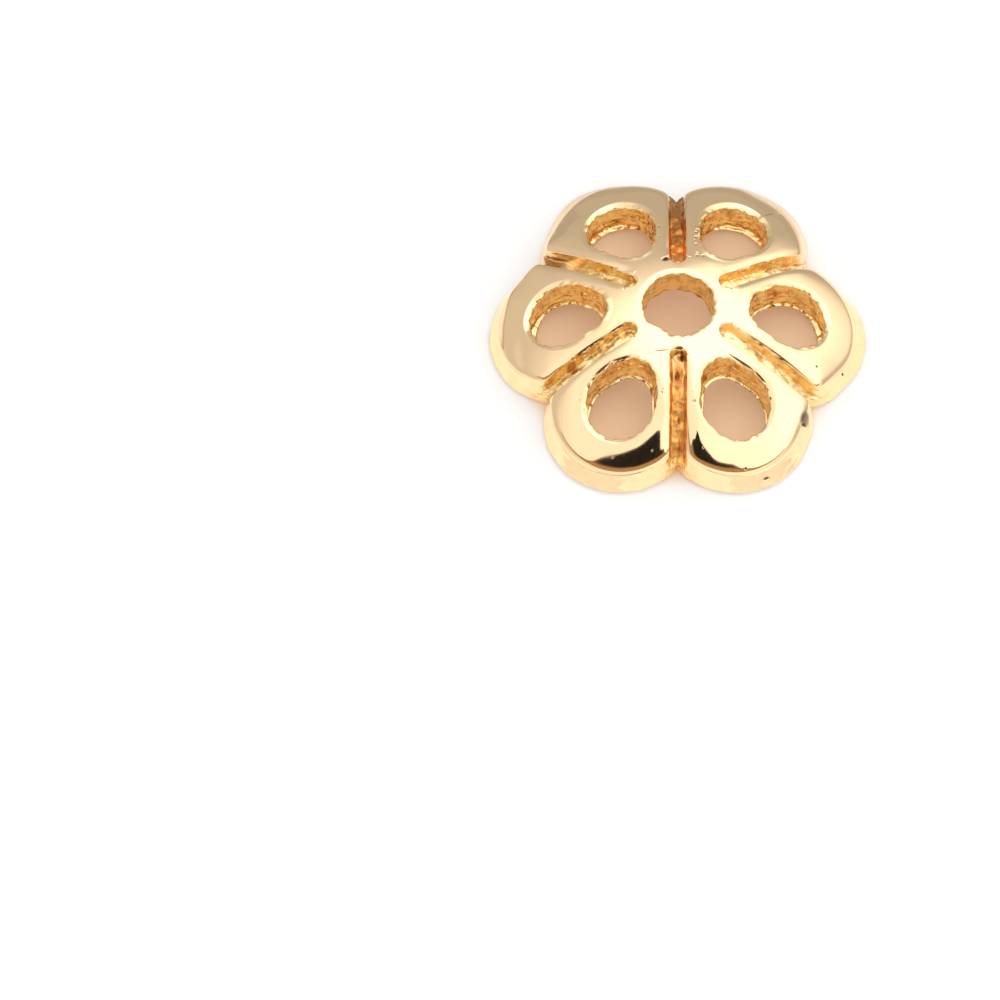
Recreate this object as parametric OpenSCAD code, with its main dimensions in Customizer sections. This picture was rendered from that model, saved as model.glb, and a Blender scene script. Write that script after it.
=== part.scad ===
// Flower bead cap: a shallow pierced dome of petals, cast in one piece and plated.
// It sits over the end of a round bead with the thread running up through its middle.
// Units are millimetres. The cap stands on its petal tips, dome up, with the origin at the
// centre of its base, +Z along the thread hole and the first petal along +X.

/* [Dome] */
// Width from petal tip to opposite petal tip
cap_d = 10; // [9.4:0.1:11]
// Height from the base to the rim of the thread hole
cap_h = 2.03; // [1.9:0.01:2.4]
// Radius of the ball that the top of the dome follows
crown_r = 7.9; // [7.4:0.1:9]
// Thickness of the metal round the thread hole
wall = 0.93; // [0.85:0.01:1.05]
// Radius of the ball that the hollow underside follows, where the bead sits
seat_r = 7.1; // [6.8:0.1:7.6]
// Diameter of the thread hole
bore_d = 1.88; // [1.2:0.02:2.1]

/* [Petals] */
// Number of petals
petals = 6; // [5:1:7]
// Radius of each petal's round end
petal_r = 2; // [1.8:0.05:2.2]
// Lean of the petal's side wall towards the thread hole, in degrees from upright
side_lean = 40; // [20:1:42]
// Height of the small bevel under the petal's edge
base_bevel = 0.12; // [0.05:0.01:0.2]

/* [Eyes] */
// Width of metal between the thread hole and the narrow end of an eye
hub_w = 0.92; // [0.8:0.02:1.1]
// Width of metal between the wide end of an eye and the petal's tip
rim_w = 1.11; // [1:0.02:1.3]
// Radius of the eye's wide end
eye_out_r = 0.91; // [0.8:0.01:0.95]
// Radius of the eye's narrow end
eye_in_r = 0.67; // [0.5:0.01:0.75]

/* [Grooves] */
// Width of the groove between two petals
groove_w = 0.46; // [0.3:0.02:0.5]
// Depth of the groove at its inner end
groove_d = 0.42; // [0.3:0.01:0.5]
// Width of metal between the thread hole and the groove's inner end
groove_hub_w = 0.33; // [0.25:0.01:0.5]
// Radius of the ball that the groove's floor follows
groove_floor_r = 6.75; // [6.5:0.05:7.2]

/* [Hidden] */
$fn = 96;
// Straight steps round each petal's leaning side wall, which no true cylinder follows
petal_sides = 16;
// How far a cut runs past the surface that it opens
over = 1;

bore_r = bore_d / 2;
tip_r = cap_d / 2;
petal_at = tip_r - petal_r;
petal_turn = 360 / petals;

// Height of a ball's centre when its surface passes through height z at radius r
function ball_z(ball_r, r, z) = z - sqrt(pow(ball_r, 2) - pow(r, 2));

crown_z = ball_z(crown_r, bore_r, cap_h);
seat_z = ball_z(seat_r, bore_r, cap_h - wall);
crown_top = crown_z + crown_r;

eye_in_at = bore_r + hub_w + eye_in_r;
eye_out_at = tip_r - rim_w - eye_out_r;

groove_in = bore_r + groove_hub_w + groove_w / 2;
groove_start_z = crown_z + sqrt(pow(crown_r, 2) - pow(groove_in, 2)) - groove_d;
groove_floor_z = ball_z(groove_floor_r, groove_in, groove_start_z);

// Places its children at each petal, or halfway between petals
module round_the_hub(turn = 0) {
    for (i = [0 : petals - 1])
        rotate(i * petal_turn + turn) children();
}

module ball(r, z) {
    translate([0, 0, z]) sphere(r);
}

// Middle and radius of a petal's outline at height z, where its side wall leans inwards
function petal_mid(z) = petal_at - max(0, z - base_bevel) * tan(side_lean);
function petal_edge(z) = petal_r - max(0, base_bevel - z);

// Turn round the petal's middle, from its tip to the notch where it meets the next petal
function notch_turn(z) =
    let (
        half = petal_turn / 2,
        mid = petal_mid(z),
        notch = mid * cos(half) + sqrt(pow(petal_edge(z), 2) - pow(mid * sin(half), 2))
    )
    atan2(notch * sin(half), notch * cos(half) - mid);

// The flower's outline at height z, petal after petal, each from notch to notch
function outline(z) = [
    for (i = [0 : petals - 1], j = [0 : petal_sides - 1])
        let (
            turn = (2 * j / petal_sides - 1) * notch_turn(z),
            x = petal_mid(z) + petal_edge(z) * cos(turn),
            y = petal_edge(z) * sin(turn),
            a = i * petal_turn
        )
        [x * cos(a) - y * sin(a), x * sin(a) + y * cos(a), z]
];

// The side wall: a solid through the outline at a few heights
module flower() {
    heights = [0, base_bevel, cap_h / 4, cap_h / 2, crown_top + over];
    sides = petals * petal_sides;
    last = (len(heights) - 1) * sides;
    polyhedron(
        points = [for (z = heights) each outline(z)],
        faces = concat(
            [[for (i = [0 : sides - 1]) i]],
            [
                for (k = [0 : sides : last - 1], i = [0 : sides - 1])
                    let (j = (i + 1) % sides)
                    each [[k + i, k + sides + i, k + sides + j], [k + i, k + sides + j, k + j]]
            ],
            [[for (i = [sides - 1 : -1 : 0]) last + i]]
        )
    );
}

// The whole flower, trimmed to the crown
module dome() {
    intersection() {
        ball(crown_r, crown_z);
        flower();
    }
}

// The eye through one petal: two round ends joined by the lines that touch both
module eye() {
    span = eye_out_at - eye_in_at;
    slope = asin((eye_out_r - eye_in_r) / span);
    function touch(at, r, side) = [at - r * sin(slope), side * r * cos(slope)];
    translate([0, 0, -over]) linear_extrude(crown_top + 2 * over) {
        translate([eye_in_at, 0]) circle(eye_in_r);
        translate([eye_out_at, 0]) circle(eye_out_r);
        polygon([
            touch(eye_in_at, eye_in_r, -1),
            touch(eye_out_at, eye_out_r, -1),
            touch(eye_out_at, eye_out_r, 1),
            touch(eye_in_at, eye_in_r, 1)
        ]);
    }
}

// The grooves, which run out between the petals above a curved floor
module grooves() {
    difference() {
        round_the_hub(petal_turn / 2) {
            translate([groove_in, 0, 0]) cylinder(d = groove_w, h = crown_top + over);
            translate([groove_in, -groove_w / 2, 0]) cube([tip_r, groove_w, crown_top + over]);
        }
        ball(groove_floor_r, groove_floor_z);
    }
}

module bead_cap() {
    color("gold") difference() {
        dome();
        grooves();
        round_the_hub() eye();
        ball(seat_r, seat_z);
        translate([0, 0, -over]) cylinder(r = bore_r, h = crown_top + 2 * over);
    }
}

bead_cap();
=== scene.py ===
import math

import bmesh
import bpy
from mathutils import Matrix, Vector, noise


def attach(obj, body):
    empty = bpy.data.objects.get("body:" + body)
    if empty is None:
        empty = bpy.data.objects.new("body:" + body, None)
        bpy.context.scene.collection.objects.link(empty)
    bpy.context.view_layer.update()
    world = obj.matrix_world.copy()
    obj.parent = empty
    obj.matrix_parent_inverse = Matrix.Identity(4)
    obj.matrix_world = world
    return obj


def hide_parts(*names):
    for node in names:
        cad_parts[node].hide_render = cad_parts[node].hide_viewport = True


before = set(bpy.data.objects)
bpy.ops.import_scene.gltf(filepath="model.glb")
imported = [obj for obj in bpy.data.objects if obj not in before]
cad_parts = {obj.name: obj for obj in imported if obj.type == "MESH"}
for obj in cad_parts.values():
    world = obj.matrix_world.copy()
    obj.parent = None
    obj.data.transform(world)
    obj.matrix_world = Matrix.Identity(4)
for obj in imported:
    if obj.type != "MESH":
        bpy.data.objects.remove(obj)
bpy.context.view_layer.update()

# The camera stands where the photograph was taken from: a long lens, well above the table,
# with the cap up and to the right of the middle of the picture.
mm = 0.001
camera_data = bpy.data.cameras.new("camera")
camera_data.sensor_width = 36
camera_data.lens = 242
camera_data.clip_start = 0.005
camera_data.clip_end = 10
camera = bpy.data.objects.new("camera", camera_data)
bpy.context.collection.objects.link(camera)
bpy.context.scene.camera = camera
camera_height = math.radians(61.51)
camera_distance = 175.5 * mm
picture_middle = Vector((-4.665, -4.757, 0)) * mm
turn_of_cap = Matrix.Rotation(math.radians(0.43), 3, "Z")
look_back = Vector((0, -math.cos(camera_height), math.sin(camera_height)))
camera.rotation_mode = "QUATERNION"
camera.location = turn_of_cap @ (picture_middle + look_back * camera_distance)
camera.rotation_quaternion = (turn_of_cap @ look_back).to_track_quat("Z", "Y")

# The cap: one zinc casting with six petals round a thread hole, polished on the dome and left as
# it came from the mould in the eyes, grooves and hollow, then gold plated all over.
petals = 6
half_petal = math.pi / petals
bore_r = 0.94
rim_z = 2.03
crown_r = 7.9
wall_at_bore = 0.93
seat_r = 7.1
crown_mid_z = rim_z - math.sqrt(crown_r**2 - bore_r**2)
seat_mid_z = rim_z - wall_at_bore - math.sqrt(seat_r**2 - bore_r**2)

# Plan of one petal, in millimetres, with the petal's tip along +X: middles and radii of circles
eye_wide, eye_wide_r = 2.98, 0.91
eye_narrow, eye_narrow_r = 2.53, 0.67
edge_mid, edge_r = 2.729, 1.965
foot_mid, foot_r = 3.0, 2.0
foot_bevel = 0.12
# The groove beside it, open at its outer end
groove_half = 0.23
groove_start = 1.5
groove_depth = 0.34
groove_floor_r = 6.2
groove_wall_share = 0.32
open_end_rise, open_end_back = 0.02, 0.06
# What the mould and the polishing round off, and the ledge at the foot of the eye's wall
eye_ledge, eye_ledge_out = 0.085, 0.17
lip_wide, lip_drop = 0.16, 0.07
bore_lip_wide, bore_lip_drop = 0.13, 0.06
edge_round_wide, edge_round_drop = 0.13, 0.03
shoulder_wide, shoulder_drop = 0.2, 0.035
eased_drop = 0.012
# A petal slopes off least at its tip, most at its sides and not at all towards the hub
pillow_drop, pillow_from = 0.14, 1.2
pillow_tip_share, pillow_side_share = 0.12, 1.15
pillow_side_turn = math.radians(76)
pillow_fade_from, pillow_fade_over = math.radians(95), math.radians(40)

groove_line = Vector((math.cos(half_petal), math.sin(half_petal)))
groove_side = Vector((groove_line.y, -groove_line.x))


def crown_z(r):
    return crown_mid_z + math.sqrt(crown_r**2 - r * r)


def seat_z(r):
    return max(0.0, seat_mid_z + math.sqrt(max(seat_r**2 - r * r, 0)))


groove_start_z = crown_z(groove_start) - groove_depth
groove_floor_mid_z = groove_start_z - math.sqrt(groove_floor_r**2 - groove_start**2)


def groove_floor_z(r):
    return groove_floor_mid_z + math.sqrt(groove_floor_r**2 - r * r)


def smooth(x):
    x = min(max(x, 0.0), 1.0)
    return x * x * (3 - 2 * x)


def mix(a, b, t):
    return a + (b - a) * t


def polar(r, turn):
    return Vector((r * math.cos(turn), r * math.sin(turn)))


def top_z(p):
    """Height of the dome's top: the crown, less the rounding that each petal has towards its edge."""
    out = p - Vector((edge_mid, 0))
    turn = math.atan2(abs(out.y), out.x)
    share = min((1 - math.cos(turn)) / (1 - math.cos(pillow_side_turn)), pillow_side_share)
    fade = 1 - smooth((turn - pillow_fade_from) / pillow_fade_over)
    rise = min(max((out.length - pillow_from) / (edge_r - pillow_from), 0.0), 1.0)
    z = crown_z(p.length) - pillow_drop * mix(pillow_tip_share, 1, share) * fade * rise**2.2
    z -= edge_round_drop * fade * max(0.0, 1 - (edge_r - out.length) / edge_round_wide) ** 2
    from_groove = (abs(p.dot(groove_side)) - groove_half) / shoulder_wide
    beside_groove = smooth((p.dot(groove_line) - groove_start) / 0.3)
    return z - shoulder_drop * beside_groove * (1 - min(from_groove, 1)) ** 2


def circle_meets_line(mid, r, aside):
    """Where a petal's circle meets the line that runs beside the groove's middle line."""
    start = groove_side * aside - Vector((mid, 0))
    b = start.dot(groove_line)
    far = -b + math.sqrt(b * b - start.length_squared + r * r)
    return groove_side * aside + groove_line * far


def turn_on(mid, p):
    return math.atan2(p.y, p.x - mid)


# The grid of one half petal: numbers of columns along each stretch of its outline, and of rows
edge_cols, groove_cols, hub_cols, end_cols, floor_rows = 40, 32, 9, 6, 6
top_rows, lip_rows, eye_rows, under_rows = 22, 5, 14, 8
upper_skirt_rows, lower_skirt_rows, foot_rows = 8, 7, 2
hub_rows, bore_lip_rows, bore_rows = 9, 4, 10

edge_corner = circle_meets_line(edge_mid, edge_r, groove_half)
foot_corner = circle_meets_line(foot_mid, foot_r, groove_half)
foot_notch = circle_meets_line(foot_mid, foot_r, 0)
bevel_notch = circle_meets_line(foot_mid, foot_r - foot_bevel, 0)
bevel_corner = circle_meets_line(foot_mid, foot_r - foot_bevel, groove_half)
groove_corner = groove_line * groove_start + groove_side * groove_half
hub_r = groove_corner.length
floor_end_z = groove_floor_z(foot_notch.length) + open_end_rise
corner_z = top_z(edge_corner)
floor_share = (corner_z - floor_end_z) / (corner_z - foot_bevel)

eye_tilt = math.asin((eye_wide_r - eye_narrow_r) / (eye_wide - eye_narrow))
eye_wide_len = eye_wide_r * (math.pi / 2 + eye_tilt)
eye_side_len = (eye_wide - eye_narrow) * math.cos(eye_tilt)
eye_narrow_len = eye_narrow_r * (math.pi / 2 - eye_tilt)
eye_len = eye_wide_len + eye_side_len + eye_narrow_len
outer_cols = edge_cols + groove_cols + hub_cols


def eye_edge(share):
    """A point of the eye's outline and the way into the metal, from the wide end to the narrow one."""
    s = share * eye_len
    if s < eye_wide_len:
        turn = s / eye_wide_r
        return Vector((eye_wide, 0)) + polar(eye_wide_r, turn), polar(1, turn)
    turn = math.pi / 2 + eye_tilt
    if s < eye_wide_len + eye_side_len:
        t = (s - eye_wide_len) / eye_side_len
        mid = mix(Vector((eye_wide, 0)), Vector((eye_narrow, 0)), t)
        return mid + polar(mix(eye_wide_r, eye_narrow_r, t), turn), polar(1, turn)
    turn += (s - eye_wide_len - eye_side_len) / eye_narrow_r
    return Vector((eye_narrow, 0)) + polar(eye_narrow_r, turn), polar(1, turn)


corner_share, hub_share = 0.37, 0.89


def eye_share(i):
    if i <= edge_cols:
        return corner_share * i / edge_cols
    if i <= edge_cols + groove_cols:
        return mix(corner_share, hub_share, (i - edge_cols) / groove_cols)
    return mix(hub_share, 1.0, (i - edge_cols - groove_cols) / hub_cols)


def edge_point(i):
    turn = turn_on(edge_mid, edge_corner) * i / edge_cols
    return Vector((edge_mid, 0)) + polar(edge_r, turn)


def groove_edge_point(i):
    return mix(edge_corner, groove_corner, i / groove_cols)


def hub_point(i):
    return polar(hub_r, math.atan2(groove_corner.y, groove_corner.x) * (1 - i / hub_cols))


def outer_point(i):
    if i <= edge_cols:
        return edge_point(i)
    if i <= edge_cols + groove_cols:
        return groove_edge_point(i - edge_cols)
    return hub_point(i - edge_cols - groove_cols)


def crowd(t, power=1.8):
    """Spreads rows so that they lie closer together at both ends."""
    return 0.5 * (2 * t) ** power if t < 0.5 else 1 - 0.5 * (2 - 2 * t) ** power


def at(p, z):
    return Vector((p.x, p.y, z))


def top_point(i, j):
    p, n = eye_edge(eye_share(i))
    q = mix(p + n * lip_wide, outer_point(i), crowd(j / top_rows))
    z = top_z(q)
    if j == top_rows and i <= edge_cols + groove_cols:
        z -= eased_drop
    return at(q, z)


def lip_point(i, j):
    p, n = eye_edge(eye_share(i))
    a = math.pi / 2 * j / lip_rows
    z = top_z(p + n * lip_wide)
    q = p + n * lip_wide * (1 - math.cos(a))
    return at(q, z - lip_drop * (1 - math.sin(a)))


# The ledge along the lower edge of an eye's wall: shares of its width and heights, row by row
ledge_rows = [(1, 0), (0.88, 0.012), (0.5, 0.022), (0.12, 0.038)]


def ledge_point(i, row):
    """A point of the ledge, which is widest at the eye's outer end."""
    p, n = eye_edge(eye_share(i))
    wide = mix(eye_ledge_out, eye_ledge, smooth((eye_share(i) - 0.08) / 0.3))
    share, rise = ledge_rows[row]
    q = p - n * wide * share
    return at(q, seat_z((p - n * wide).length) + rise)


def eye_wall_point(i, j):
    if j < len(ledge_rows):
        return ledge_point(i, j)
    p, n = eye_edge(eye_share(i))
    low = ledge_point(i, len(ledge_rows) - 1).z
    top = top_z(p + n * lip_wide) - lip_drop
    t = (j - len(ledge_rows) + 1) / (eye_rows - len(ledge_rows) + 1)
    bulge = 0.02 * math.sin(math.pi * min(t * 1.1, 1))
    ripples = 0.022 * math.sin(t * 15) * math.sin(math.pi * t)
    return at(p - n * (bulge + ripples), mix(low, top, t))


def foot_point(i, mid, r, corner, notch):
    if i <= edge_cols:
        return Vector((mid, 0)) + polar(r, turn_on(mid, corner) * i / edge_cols)
    return mix(corner, notch, (i - edge_cols) / floor_rows)


def floor_end_point(i):
    """Top of the side wall under the groove's open end."""
    k = (i - edge_cols) / floor_rows
    start = mix(edge_corner, foot_corner, floor_share)
    end = foot_notch - groove_line * open_end_back
    return at(mix(start, end, k), floor_end_z)


def skirt_point(i, j):
    """The side wall, from the petal's upper edge (or the groove's floor) down to the bevel."""
    foot = at(foot_point(i, foot_mid, foot_r, foot_corner, foot_notch), foot_bevel)
    if i <= edge_cols:
        p = edge_point(i)
        top = at(p, top_z(p))
        if j <= upper_skirt_rows:
            t = floor_share * (j / upper_skirt_rows) ** 1.5
        else:
            t = mix(floor_share, 1, (j - upper_skirt_rows) / lower_skirt_rows)
        q = mix(top, foot, t)
        if j == 0:
            q.z -= eased_drop
        return q
    return mix(floor_end_point(i), foot, max(0, j - upper_skirt_rows) / lower_skirt_rows)


def bevel_point(i, j):
    top = at(foot_point(i, foot_mid, foot_r, foot_corner, foot_notch), foot_bevel)
    low = at(foot_point(i, foot_mid, foot_r - foot_bevel, bevel_corner, bevel_notch), 0)
    return mix(top, low, j / foot_rows)


def groove_rim(i):
    """The groove's upper edge: straight beside the petal, then round its inner end."""
    if i <= groove_cols:
        return groove_edge_point(i)
    turn = math.pi / 2 * (i - groove_cols) / end_cols
    return (groove_line * groove_start + groove_side * groove_half * math.cos(turn)
            - groove_line * groove_half * math.sin(turn))


def groove_middle(i):
    if i <= groove_cols:
        r = mix((foot_notch - groove_line * open_end_back).length, groove_start, i / groove_cols)
        return groove_line * r
    return groove_line * (groove_start - 0.4 * groove_half * (i - groove_cols) / end_cols)


def groove_low_z(q, i):
    """Height of the groove's floor, which comes down to its open end over the first few columns."""
    return mix(groove_floor_z(q.length), floor_end_z, 0.6 * (1 - smooth(i / 5)))


def groove_wall_point(i, j):
    if i == 0:
        return skirt_point(edge_cols, j)
    p = groove_rim(i)
    m = groove_middle(i)
    low = p + (m - p) * groove_wall_share
    t = j / upper_skirt_rows
    z_top = top_z(p) if i <= groove_cols else crown_z(p.length)
    z = mix(z_top - (eased_drop if j == 0 else 0), groove_low_z(low, i), t)
    return at(mix(p, low, t**1.3), z)


def groove_floor_point(i, j):
    if i == 0:
        return floor_end_point(edge_cols + j)
    wall = groove_wall_point(i, upper_skirt_rows)
    m = groove_middle(i)
    q = mix(wall.to_2d(), m, j / floor_rows)
    return at(q, groove_low_z(q, i))


def hub_outer(i):
    """The outside of the hub: its ring between two grooves' ends, then half a groove's round end."""
    if i <= hub_cols:
        return hub_point(hub_cols - i)
    return groove_rim(groove_cols + i - hub_cols)


def hub_turn(i):
    return half_petal * i / (hub_cols + end_cols)


def hub_top_point(i, j):
    p = polar(bore_r + bore_lip_wide, hub_turn(i))
    q = mix(p, hub_outer(i), crowd(j / hub_rows, 1.5))
    z = crown_z(q.length)
    if j == hub_rows and i > hub_cols:
        z -= eased_drop
    if j == hub_rows and i == hub_cols:
        z = top_z(q) - eased_drop
    return at(q, z)


def bore_lip_point(i, j):
    a = math.pi / 2 * j / bore_lip_rows
    q = polar(bore_r + bore_lip_wide * (1 - math.cos(a)), hub_turn(i))
    return at(q, crown_z(bore_r + bore_lip_wide) - bore_lip_drop * (1 - math.sin(a)))


def bore_point(i, j):
    z = mix(seat_z(bore_r), crown_z(bore_r + bore_lip_wide) - bore_lip_drop, j / bore_rows)
    return at(polar(bore_r, hub_turn(i)), z)


bore_cols = hub_cols + end_cols
middle_cols = outer_cols - edge_cols - floor_rows - bore_cols


def under_outer(i):
    """The hollow's outline on the half petal: the foot, the line between petals, and the thread hole."""
    if i <= edge_cols + floor_rows:
        return foot_point(i, foot_mid, foot_r - foot_bevel, bevel_corner, bevel_notch)
    i -= edge_cols + floor_rows
    if i <= middle_cols:
        return mix(bevel_notch, groove_line * bore_r, i / middle_cols)
    return polar(bore_r, half_petal * (1 - (i - middle_cols) / bore_cols))


def under_point(i, j):
    q = mix(ledge_point(i, 0).xy, under_outer(i), j / under_rows)
    on_foot = j == under_rows and i <= edge_cols + floor_rows
    return at(q, 0 if on_foot else seat_z(q.length))


bm = bmesh.new()
cast = bm.verts.layers.float.new("cast")
in_groove = bm.verts.layers.float.new("groove")


def add_sheet(cols, rows, place, roughness, groove=0.0):
    """A grid whose points the plan places; roughness gives each point's share of rough casting."""
    made = bmesh.ops.create_grid(bm, x_segments=cols, y_segments=rows, size=0.5)["verts"]
    for v in made:
        i, j = round((v.co.x + 0.5) * cols), round((v.co.y + 0.5) * rows)
        v[cast] = roughness(i, j)
        v[in_groove] = groove
        v.co = place(i, j)


add_sheet(outer_cols, top_rows, top_point,
          lambda i, j: 0.3 if j == top_rows and edge_cols < i <= edge_cols + groove_cols else 0.0)
add_sheet(outer_cols, lip_rows, lip_point, lambda i, j: smooth(1 - 1.3 * j / lip_rows))
add_sheet(outer_cols, eye_rows, eye_wall_point, lambda i, j: 0.6 if j < len(ledge_rows) else 1.0)
add_sheet(outer_cols, under_rows, under_point, lambda i, j: 1.0 if j else 0.6)
add_sheet(edge_cols, upper_skirt_rows + lower_skirt_rows, skirt_point,
          lambda i, j: 0.15 * smooth(j / 3) + 0.35 * smooth((i - edge_cols + 7) / 7) * smooth(j / 5))
add_sheet(floor_rows, lower_skirt_rows, lambda i, j: skirt_point(edge_cols + i, upper_skirt_rows + j),
          lambda i, j: smooth(1 - j / lower_skirt_rows) * smooth(i / 2))
add_sheet(edge_cols + floor_rows, foot_rows, bevel_point, lambda i, j: 0.3)
add_sheet(groove_cols + end_cols, upper_skirt_rows, groove_wall_point,
          lambda i, j: 0.3 + 0.7 * smooth(j / 2), 1.0)
add_sheet(groove_cols + end_cols, floor_rows, groove_floor_point, lambda i, j: 1.0, 1.0)
add_sheet(bore_cols, hub_rows, hub_top_point, lambda i, j: 0.0)
add_sheet(bore_cols, bore_lip_rows, bore_lip_point, lambda i, j: smooth(1 - 1.3 * j / bore_lip_rows))
add_sheet(bore_cols, bore_rows, bore_point, lambda i, j: 1.0)

seam = 0.0005
bmesh.ops.remove_doubles(bm, verts=bm.verts, dist=seam)
bmesh.ops.mirror(bm, geom=bm.verts[:] + bm.edges[:] + bm.faces[:], matrix=Matrix.Identity(4),
                 merge_dist=seam, axis="Y")
bmesh.ops.remove_doubles(bm, verts=bm.verts, dist=seam)
bmesh.ops.spin(bm, geom=bm.verts[:] + bm.edges[:] + bm.faces[:], cent=(0, 0, 0), axis=(0, 0, 1),
               angle=2 * half_petal * (petals - 1), steps=petals - 1, use_duplicate=True)
bmesh.ops.remove_doubles(bm, verts=bm.verts, dist=seam)
bmesh.ops.recalc_face_normals(bm, faces=bm.faces)

# This casting's own shape, in millimetres: what the mould and the polishing left different from
# petal to petal. Near is towards the camera, left and right are as it sees them.
far_groove_fill, left_groove_fill = 0.22, 0.2
crease_step = 0.022
side_round_wide, side_round_drop = 0.34, 0.055
foot_in, left_edge_out = 0.06, 0.08
far_notch_fill, side_notch_fill = 0.11, 0.17
far_stretch, far_lift = 0.1, 0.03
flat_middle, flat_reach = Vector((-0.47, -0.82)), 0.42
flat_in = Vector((0.05, 0.08))
crease_middle, below_way = Vector((2.23, 3.29)), Vector((0.515, -0.857))
notch_way = Vector((math.cos(half_petal), -math.sin(half_petal)))


def past(x, start, over):
    """0 up to start, then smoothly up to 1 over the given length."""
    return smooth((x - start) / over)


def within(x, reach, over):
    """0 farther out than reach on either side, then smoothly up to 1 over the given length."""
    return smooth((reach - abs(x)) / over)


for v in bm.verts:
    p = v.co
    r = p.xy.length
    from_groove = abs(r * math.sin(math.atan2(p.y, p.x) % (2 * half_petal) - half_petal))
    far = past(p.y, 3.3, 1.0)
    # The far grooves are smoother towards their open ends, most of all on the left
    if from_groove < 0.25 and abs(p.x) > 1:
        v[cast] *= 1 - (0.85 if p.x < 0 else 0.5) * past(r, 2.9, 0.5) * past(p.y, 0.8, 0.5)
    # The plating is yellowest in the near right groove
    v[in_groove] *= 0.35 + 0.65 * past(p.x, 0.7, 0.4) * past(-p.y, 0.2, 0.3)
    # The far groove and the far left one are shallow towards their open ends
    in_far_groove = within(p.x, 0.235, 0.06) * past(p.z, 0.25, 0.15)
    p.z += far_groove_fill * in_far_groove * past(p.y, 2.6, 1.0)
    in_left_groove = within(from_groove, 0.235, 0.06) * past(p.z, 0.25, 0.15)
    p.z += left_groove_fill * in_left_groove * past(-p.x, 2.6, 0.4) * past(p.y, 0.8, 0.5)
    v[cast] *= 1 - 0.75 * within(p.x, 0.4, 0.1) * past(p.y, 3.75, 0.35)
    # A crease, with a slight step below it, crosses the far right petal
    below_crease = (p.xy - crease_middle).dot(below_way)
    step = past(below_crease, 0, 0.05) * (1 - past(below_crease, 0, 0.6)) * past(p.x, 1.9, 0.5)
    p.z += crease_step * step * past(p.z, 0.3, 0.3) * past(p.y, 1.9, 1.0)
    # The thread hole is a little flat at its near left
    p.xy += flat_in * within((p.xy - flat_middle).length, flat_reach, flat_reach) * past(p.z, 0.2, 1.0)
    # The near right petal is rounded off more than the others beside the nearest groove
    beside = max(0.0, 1 - max(p.x - groove_half, 0) / side_round_wide) * past(p.x, 0, 0.05)
    p.z -= side_round_drop * beside**2 * past(-p.y, 2.6, 0.6) * past(p.z, 0.35, 0.3)
    # The left and far left petals have sharper upper edges than the others
    petal_turn = round(math.atan2(p.y, p.x) / (2 * half_petal)) * 2 * half_petal
    from_edge = abs((p.xy - polar(edge_mid, petal_turn)).length - edge_r)
    on_left = past(-p.x, 1.2, 0.8) * past(p.y, -1.4, 0.6)
    p.z += edge_round_drop * on_left * max(0.0, 1 - from_edge / edge_round_wide) ** 2
    # The left petal's side wall is steeper
    p.x += foot_in * past(-p.x, 4.5, 0.4) * (1 - past(p.z, 0.3, 0.4))
    p.x -= left_edge_out * past(-p.x, 4.0, 0.5) * past(p.z, 0.5, 0.3)
    # The far petals stand out a little, and the notch between them is filled a little
    p.y += far_notch_fill * within(p.x, 0.2, 0.2) * past(p.y, 3.8, 0.4)
    p.y += far_stretch * far * (1 - past(p.x, 1.6, 0.8))
    # So are the notches at both ends of the line from far left to near right
    along = p.xy.dot(notch_way)
    aside = p.x * notch_way.y - p.y * notch_way.x
    fill = side_notch_fill * past(abs(along), 3.5, 0.6) * within(aside, 1.1, 1.1)
    p.xy += notch_way * math.copysign(fill, along)
    p.z += far_lift * far * past(p.z, 0, 0.5)

# The casting's own unevenness: lumps where it was left rough, a slight wave where it was polished
bm.normal_update()
moves = []
for v in bm.verts:
    p = v.co
    wave = noise.noise(p * 0.9) * 0.006 + noise.noise(p * 2.3) * 0.0025
    lumps = noise.noise(p * 2.3) * 0.04 + noise.noise(p * 6.5) * 0.05 + noise.noise(p * 13.0) * 0.012
    moves.append(v.normal * (wave + lumps * v[cast]))
for v, move in zip(bm.verts, moves):
    v.co += move
    v.co.z = max(v.co.z, 0.0)

bmesh.ops.scale(bm, vec=(mm, mm, mm), verts=bm.verts)
for face in bm.faces:
    face.smooth = True
cap_mesh = bpy.data.meshes.new("gold_cap")
bm.to_mesh(cap_mesh)
bm.free()
cap = bpy.data.objects.new("gold_cap", cap_mesh)
bpy.context.collection.objects.link(cap)

gold = bpy.data.materials.new("gold_plate")
gold.use_nodes = True
nodes, links = gold.node_tree.nodes, gold.node_tree.links
surface = nodes["Principled BSDF"]
surface.inputs["Metallic"].default_value = 1


def feed(socket, value):
    """Links a socket to what another node puts out, or sets it to a plain number or colour."""
    if isinstance(value, bpy.types.NodeSocket):
        links.new(value, socket)
    elif isinstance(value, tuple):
        socket.default_value = (*value, 1)
    else:
        socket.default_value = value


def blend(share, a, b):
    """Colour a where the share is 0, and b where it is 1."""
    node = nodes.new("ShaderNodeMix")
    node.data_type = "RGBA"
    feed(node.inputs["Factor"], share)
    feed(node.inputs["A"], a)
    feed(node.inputs["B"], b)
    return node.outputs["Result"]


def reckon(how, a, b, c=None):
    """One sum with two or three values."""
    node = nodes.new("ShaderNodeMath")
    node.operation = how
    feed(node.inputs[0], a)
    feed(node.inputs[1], b)
    if c is not None:
        feed(node.inputs[2], c)
    return node.outputs["Value"]


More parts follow.
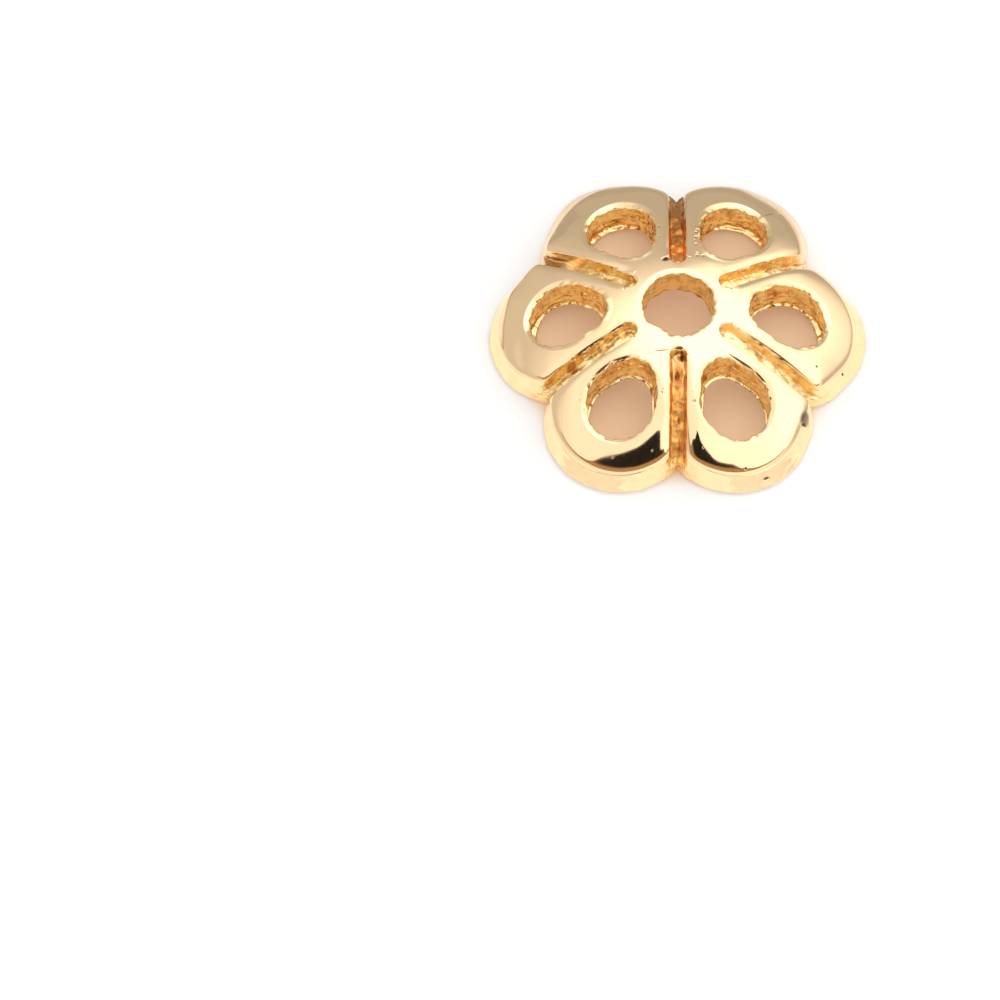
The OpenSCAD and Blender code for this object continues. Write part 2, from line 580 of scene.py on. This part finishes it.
def rescale(value, start, end, low=0, high=1, softly=False):
    """Turns a range from start to end into one from low to high, and keeps within it."""
    node = nodes.new("ShaderNodeMapRange")
    node.interpolation_type = "SMOOTHSTEP" if softly else "LINEAR"
    feed(node.inputs["Value"], value)
    feed(node.inputs["From Min"], start)
    feed(node.inputs["From Max"], end)
    feed(node.inputs["To Min"], low)
    feed(node.inputs["To Max"], high)
    return node.outputs["Result"]


def length_of(vector):
    node = nodes.new("ShaderNodeVectorMath")
    node.operation = "LENGTH"
    feed(node.inputs[0], vector)
    return node.outputs["Value"]


def stored(name):
    """A value that the mesh carries, point by point."""
    node = nodes.new("ShaderNodeAttribute")
    node.attribute_name = name
    return node.outputs["Fac"]


on_cap = nodes.new("ShaderNodeTexCoord").outputs["Object"]


def grains(scale, detail, roughness):
    node = nodes.new("ShaderNodeTexNoise")
    feed(node.inputs["Vector"], on_cap)
    feed(node.inputs["Scale"], scale)
    feed(node.inputs["Detail"], detail)
    feed(node.inputs["Roughness"], roughness)
    return node.outputs["Fac"]


def patch(place, half_size, turn=0.0):
    """A mask, 1 at its middle and 0 at the edge of an ellipsoid, in millimetres on the cap."""
    local = nodes.new("ShaderNodeMapping")
    local.vector_type = "TEXTURE"
    local.inputs["Location"].default_value = [c * mm for c in place]
    local.inputs["Rotation"].default_value = (0, 0, math.radians(turn))
    local.inputs["Scale"].default_value = [c * mm for c in half_size]
    feed(local.inputs["Vector"], on_cap)
    return rescale(length_of(local.outputs["Vector"]), 1, 0.35, softly=True)


def strongest(masks):
    total = masks[0]
    for mask in masks[1:]:
        total = reckon("MAXIMUM", total, mask)
    return total


# Pits and specks with dark bottoms and dark edges, painted shade round the inner end of the nearest
# groove, and thin painted dark reflections along the far lips of some eyes and the edges of the grooves,
# where and as large as the photograph shows them
dark = strongest([
    patch((3.30, -2.86, 0.68), (0.12, 0.05, 0.2), 20),
    patch((3.64, -1.32, 1.05), (0.038, 0.038, 0.08)),
    patch((4.36, -1.24, 0.50), (0.05, 0.05, 0.08)),
    patch((0.10, -1.42, 1.70), (0.05, 0.13, 0.3)),
    patch((-0.02, -1.92, 1.70), (0.08, 0.17, 0.42)),
    patch((0.02, -1.30, 1.90), (0.12, 0.026, 0.3)),
    patch((2.32, -4.27, 0.32), (0.13, 0.05, 0.08), 25),
    patch((1.77, -4.16, 0.65), (0.05, 0.05, 0.06)),
    patch((-0.32, 1.39, 1.96), (0.13, 0.085, 0.14), 10),
    patch((-0.67, -3.85, 1.01), (0.03, 0.03, 0.05)),
    patch((-1.70, -3.95, 0.81), (0.04, 0.03, 0.05)),
    patch((0.66, -3.78, 1.07), (0.035, 0.035, 0.05)),
    patch((-0.41, -1.37, 1.95), (0.24, 0.017, 0.1), 2),
    patch((-1.99, -1.76, 1.62), (0.36, 0.042, 0.3), 38),
    patch((-1.50, -1.53, 1.78), (0.32, 0.036, 0.3), 12),
    patch((-2.30, -1.06, 1.60), (0.62, 0.024, 0.6), 30),
    patch((-1.62, -0.67, 1.88), (0.30, 0.022, 0.3), 30),
    patch((2.65, -1.25, 1.42), (1.25, 0.021, 1.4), -30),
    patch((1.68, -1.61, 1.75), (0.50, 0.040, 0.4), -29),
    patch((2.15, -1.92, 1.55), (0.28, 0.036, 0.3), -43),
])
# Painted shade: darker colour in the grooves and along the crease
groove_and_crease_shade = strongest([
    patch((0.0, -1.85, 1.45), (0.20, 0.50, 0.35)),
    patch((0.03, -1.42, 1.60), (0.12, 0.11, 0.3)),
    patch((0.05, -3.62, 0.63), (0.16, 0.12, 0.2)),
    patch((0.03, -2.95, 1.0), (0.07, 0.12, 0.3)),
    patch((-2.78, -1.42, 1.1), (0.20, 0.09, 0.4), 30),
    patch((0.0, 3.25, 1.0), (0.30, 1.6, 1.8)),
    patch((-3.45, 1.99, 0.80), (0.90, 0.26, 0.55), -30),
    patch((2.55, 3.46, 0.85), (0.42, 0.03, 0.5), 31),
])
# Painted warm reflection and shade: the nearest groove is orange along its floor, and the farthest one a
# redder brown, as the gold walls light each other
orange = patch((0.0, -2.95, 1.1), (0.32, 2.4, 2.0))
red_brown = patch((0.0, 2.2, 1.4), (0.34, 1.3, 2.0))
# The wide shallow pit on the near right petal has lost its shine
dull_pit = patch((3.34, -2.72, 0.72), (0.22, 0.27, 0.4))
# Fine chatter marks beside the grooves
chatter = strongest([
    patch((0.50, 2.30, 1.7), (0.10, 0.62, 0.6)),
    patch((-0.45, 2.45, 1.7), (0.09, 0.40, 0.6)),
    patch((-2.53, -2.55, 1.2), (0.07, 0.34, 0.6)),
    patch((-0.41, -2.62, 1.6), (0.08, 0.36, 0.6)),
    patch((0.40, -2.72, 1.6), (0.08, 0.42, 0.6)),
    patch((0.55, 1.55, 1.8), (0.28, 0.10, 0.6), -10),
    patch((-1.85, 1.32, 1.6), (0.45, 0.09, 0.6), -28),
])
dots = nodes.new("ShaderNodeTexVoronoi")
dots.inputs["Scale"].default_value = 7500
feed(dots.inputs["Vector"], on_cap)
chatter_dots = reckon("MULTIPLY", chatter, rescale(dots.outputs["Distance"], 0.45, 0.15))

# Polished plating is pale gold. Where the casting is rough it is yellower and mottled.
rough_share = stored("cast")
groove_share = stored("groove")
mottle = rescale(grains(3300, 3, 0.6), 0.48, 0.70, 0, rescale(groove_share, 0, 1, 1, 0.75))
rough_gold = blend(groove_share, (0.98, 0.71, 0.33), (1.0, 0.79, 0.45))
colour = blend(rough_share, (0.99, 0.705, 0.41), blend(mottle, rough_gold, (0.66, 0.37, 0.11)))
# Painted warm reflections and shade in the grooves
colour = blend(orange, colour, (0.85, 0.44, 0.12))
colour = blend(red_brown, colour, (0.85, 0.31, 0.06))
# Painted shade in the grooves and along the crease
colour = blend(groove_and_crease_shade, colour, (0.53, 0.225, 0.06))
colour = blend(dull_pit, colour, (0.27, 0.20, 0.13))
# Near black at the pits and chatter dots, and at the painted shade and painted dark reflections along
# the lips and groove edges
dark_mark_share = reckon("MULTIPLY_ADD", chatter_dots, 0.6, dark)
feed(surface.inputs["Base Color"], blend(dark_mark_share, colour, (0.11, 0.06, 0.035)))

# Gloss: bright where polished, softer where rough, softest along the grooves' floors
gloss = reckon("MULTIPLY_ADD", groove_share, 0.12, rescale(rough_share, 0, 1, 0.07, 0.24))
gloss = reckon("MULTIPLY_ADD", strongest([orange, red_brown]), 0.1, gloss)
feed(surface.inputs["Roughness"], gloss)

# Relief: cast grit, chatter dots and sunken pits, the deepest of them 0.045 mm
relief = reckon("MULTIPLY", grains(5000, 1.5, 0.4), rough_share)
relief = reckon("MULTIPLY_ADD", chatter_dots, -0.32, relief)
bump = nodes.new("ShaderNodeBump")
bump.inputs["Distance"].default_value = 0.045 * mm
bump.inputs["Strength"].default_value = 1
feed(bump.inputs["Height"], reckon("SUBTRACT", relief, dark))
feed(surface.inputs["Normal"], bump.outputs["Normal"])
cap_mesh.materials.append(gold)

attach(cap, "root")
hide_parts("bead_cap")

# The table: a plain white sheet. The camera sees it bright, as the photograph's exposure has it;
# in reflections and as a source of light it is duller, the more so behind the cap. Under the cap it is
# painted with a warm shadow, tinted by the gold's bounced light, and the camera sees it brightest
# under the thread hole, a painted pool of light. It also glows faintly in the same colours.
floor_mesh = bpy.data.meshes.new("floor")
bm = bmesh.new()
bmesh.ops.create_grid(bm, x_segments=1, y_segments=1, size=0.6)
bm.to_mesh(floor_mesh)
bm.free()
floor = bpy.data.objects.new("floor", floor_mesh)
bpy.context.collection.objects.link(floor)
white = bpy.data.materials.new("white_table")
white.use_nodes = True
nodes, links = white.node_tree.nodes, white.node_tree.links


def colour_steps(share, steps, way):
    """Runs through a few colours as a share goes from 0 to 1."""
    node = nodes.new("ShaderNodeValToRGB")
    node.color_ramp.interpolation = way
    stops = node.color_ramp.elements
    for stop, (place, colour) in zip((stops[0], stops[1]), (steps[0], steps[-1])):
        stop.position = place
        stop.color = (*colour, 1)
    for place, colour in steps[1:-1]:
        stops.new(place).color = (*colour, 1)
    feed(node.inputs["Fac"], share)
    return node.outputs["Color"]


on_floor = nodes.new("ShaderNodeTexCoord").outputs["Object"]
floor_split = nodes.new("ShaderNodeSeparateXYZ")
feed(floor_split.inputs["Vector"], on_floor)
from_middle = length_of(on_floor)
behind = rescale(floor_split.outputs["Y"], 1 * mm, 9 * mm, softly=True)
beyond_cap = rescale(from_middle, 3.75 * mm, 4.5 * mm, softly=True)
lit_paper = blend(behind, (0.80, 0.79, 0.78), (0.30, 0.29, 0.28))
# Painted warm shadow under the cap, in reflections and as a source of light
reflected = blend(beyond_cap, (0.74, 0.58, 0.38), lit_paper)
# Painted warm shadow under the cap as the camera sees it, with a painted pool of light under the thread
# hole
seen = colour_steps(reckon("MULTIPLY", from_middle, 1 / (5 * mm)), [
    (0.15, (0.76, 0.57, 0.40)),
    (0.4, (0.665, 0.485, 0.325)),
    (0.75, (0.665, 0.485, 0.325)),
    (0.9, (0.66, 0.655, 0.65)),
], "EASE")
ray = nodes.new("ShaderNodeLightPath")
paper_colour = blend(ray.outputs["Is Camera Ray"], reflected, seen)
paper = nodes["Principled BSDF"]
paper.inputs["Roughness"].default_value = 0.7
paper.inputs["Specular IOR Level"].default_value = 0.1
# Painted light: the table glows faintly in the same colours, though it is no lamp
paper.inputs["Emission Strength"].default_value = 0.3
feed(paper.inputs["Base Color"], paper_colour)
feed(paper.inputs["Emission Color"], paper_colour)
floor_mesh.materials.append(white)

# The camera and its stand: black plastic, brown lower down, which only the cap's own gloss shows.
# Their upper edge is in degrees round the cap and above the table, as seen from the cap.
camera_edge = [
    (-165, 28.5), (-154, 30), (-146, 32), (-140, 36), (-136, 42), (-132, 46.5), (-122, 51),
    (-115, 53.5), (-110, 57), (-104, 61), (-98, 64.5), (-89, 63), (-86, 60), (-83, 55.5),
    (-80, 51.5), (-76, 48), (-72, 47), (-67, 46.3), (-62, 44.5), (-57, 40), (-50, 33),
    (-40, 30), (-25, 28),
]
camera_low, camera_away = 25, 0.5
edge_steps = len(camera_edge) - 1
front_mesh = bpy.data.meshes.new("camera_front")
bm = bmesh.new()
for v in bmesh.ops.create_grid(bm, x_segments=edge_steps, y_segments=1, size=0.5)["verts"]:
    round_cap, above = camera_edge[round((v.co.x + 0.5) * edge_steps)]
    above = math.radians(above if v.co.y > 0 else camera_low)
    v.co = at(polar(math.cos(above), math.radians(round_cap)), math.sin(above)) * camera_away
bm.to_mesh(front_mesh)
bm.free()
front = bpy.data.objects.new("camera_front", front_mesh)
bpy.context.collection.objects.link(front)
front.visible_camera = False
front.visible_diffuse = False
front.visible_shadow = False
black = bpy.data.materials.new("black_plastic")
black.use_nodes = True
nodes, links = black.node_tree.nodes, black.node_tree.links
front_way = nodes.new("ShaderNodeVectorMath")
front_way.operation = "NORMALIZE"
feed(front_way.inputs[0], nodes.new("ShaderNodeTexCoord").outputs["Object"])
front_split = nodes.new("ShaderNodeSeparateXYZ")
feed(front_split.inputs["Vector"], front_way.outputs["Vector"])
brown_from, brown_to = math.sin(math.radians(38)), math.sin(math.radians(46))
plastic = nodes["Principled BSDF"]
plastic.inputs["Roughness"].default_value = 0.8
plastic.inputs["Specular IOR Level"].default_value = 0.1
feed(plastic.inputs["Base Color"], colour_steps(
    rescale(front_split.outputs["Z"], brown_from, brown_to), [
        (0.12, (0.44, 0.30, 0.16)),
        (0.3, (0.32, 0.17, 0.10)),
        (0.5, (0.24, 0.12, 0.07)),
        (0.66, (0.012, 0.011, 0.011)),
    ], "LINEAR"))
front_mesh.materials.append(black)

# The room: a tent of white cloth round the cap, lit from above and behind, with no lamp inside.
# It is duller low down behind and on the left.
world = bpy.data.worlds.new("light_tent")
bpy.context.scene.world = world
world.use_nodes = True
nodes, links = world.node_tree.nodes, world.node_tree.links
tent_way = nodes.new("ShaderNodeTexCoord").outputs["Generated"]


def toward(way, start, end, low, high):
    """A brightness that goes smoothly from low to high as a direction turns toward the given way."""
    turned = nodes.new("ShaderNodeVectorMath")
    turned.operation = "DOT_PRODUCT"
    turned.inputs[1].default_value = way
    feed(turned.inputs[0], tent_way)
    return rescale(turned.outputs["Value"], start, end, low, high, softly=True)


ceiling = reckon("ADD", toward((0.136, 0.336, 0.932), 0.83, 0.985, 1.18, 2.08),
                 reckon("ADD", toward((0.916, 0.129, 0.381), 0.70, 1.11, 0, 1.05),
                        toward((0.503, -0.704, 0.503), 0.60, 1.0, 0, 0.3)))
walls = reckon("ADD", toward((0.455, 0.686, -0.567), -0.14, 0.57, 0.72, 0.54),
               reckon("ADD", toward((0.698, 0.493, 0.520), 0.79, 1.06, 0, 1.04),
                      toward((0, -0.35, -0.94), -0.17, -0.05, 0, 0.33)))
ceiling_share = reckon("MAXIMUM", toward((0.035, -0.252, 0.967), 0.36, 0.71, 0, 1),
                       toward((0.241, 0.596, 0.766), 0.965, 0.985, 0, 1))
tent = nodes.new("ShaderNodeMix")
feed(tent.inputs["Factor"], ceiling_share)
feed(tent.inputs["A"], walls)
feed(tent.inputs["B"], ceiling)
feed(nodes["Background"].inputs["Strength"], tent.outputs["Result"])
nodes["Background"].inputs["Color"].default_value = (1, 1, 1, 1)
bpy.context.scene.view_settings.view_transform = "Standard"
